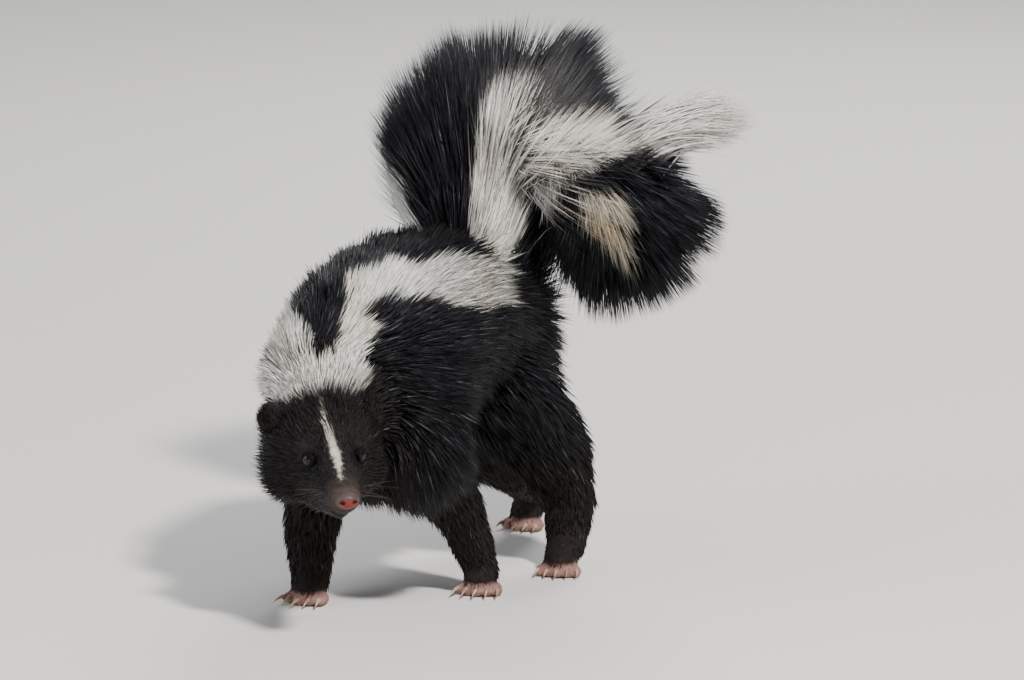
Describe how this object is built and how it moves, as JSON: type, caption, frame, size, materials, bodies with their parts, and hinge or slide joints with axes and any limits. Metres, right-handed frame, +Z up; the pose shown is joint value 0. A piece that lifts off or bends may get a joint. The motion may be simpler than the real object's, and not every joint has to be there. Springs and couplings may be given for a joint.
{
  "type": "striped skunk",
  "caption": "Life-size still model of a striped skunk in mid-step with its head turned and its plumed tail raised.",
  "frame": {"origin": "centre of the bounding box's footprint, on the floor under the paws", "axes": "+Z up, the body faces -Y, so its left side is +X"},
  "size_m": [0.2124, 0.3522, 0.2745],
  "materials": {
    "black_fur": "long glossy black coat",
    "brown_black_fur": "short brownish black coat",
    "cream_white_fur": "long cream-white coat",
    "eye_gloss": "wet dark eye",
    "nose_skin": "moist pink-brown nose",
    "ear_skin": "short-haired dark ear"
  },
  "bodies": {
    "root": {"head": "black_fur", "eye_left": "eye_gloss", "ear_left": "ear_skin", "eye_right": "eye_gloss", "ear_right": "ear_skin", "nose": "nose_skin", "neck": "black_fur", "torso": "black_fur", "foreleg_right": "brown_black_fur", "foreleg_left": "brown_black_fur", "hindleg_right": "brown_black_fur", "hindleg_left": "brown_black_fur", "tail_base": "cream_white_fur", "tail_middle": "black_fur", "tail_tip": "black_fur"}
  },
  "joints": []
}
